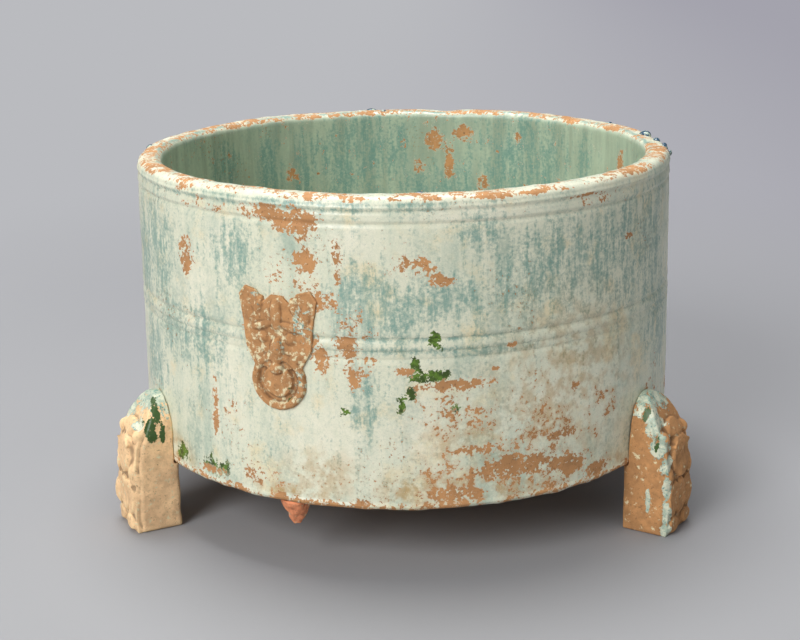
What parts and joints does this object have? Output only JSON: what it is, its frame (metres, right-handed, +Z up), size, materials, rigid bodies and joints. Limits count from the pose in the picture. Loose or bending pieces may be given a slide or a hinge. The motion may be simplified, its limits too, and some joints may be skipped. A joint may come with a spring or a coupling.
{
  "type": "tripod jar",
  "caption": "Cylindrical glazed earthenware jar on bear-shaped feet, with grooved bands and animal masks with rings in relief.",
  "frame": {"origin": "on the ground, under the middle of the whole outline; the jar's own axis is 10.75 mm towards -Y", "axes": "+Z up, -Y to the front between the two front feet, +X to the jar's right as seen from the front"},
  "size_m": [0.2572, 0.2656, 0.1578],
  "materials": {
    "glaze": "weathered pale green lead glaze, flaked to the clay in places",
    "base_glaze": "thin worn green glaze",
    "foot_clay": "bare fired clay with glaze runs",
    "relief_clay": "bare fired clay with glaze runs",
    "mask_glaze": "worn glaze over fired clay",
    "spur_clay": "bare orange fired clay"
  },
  "bodies": {
    "root": {"vessel_wall": "glaze", "base_disc": "base_glaze", "foot_block_left": "foot_clay", "foot_block_right": "foot_clay", "foot_block_back": "foot_clay", "bear_relief_left": "relief_clay", "bear_relief_right": "relief_clay", "bear_relief_back": "relief_clay", "mask_front": "mask_glaze", "mask_back": "mask_glaze", "clay_spur": "spur_clay"}
  },
  "joints": []
}
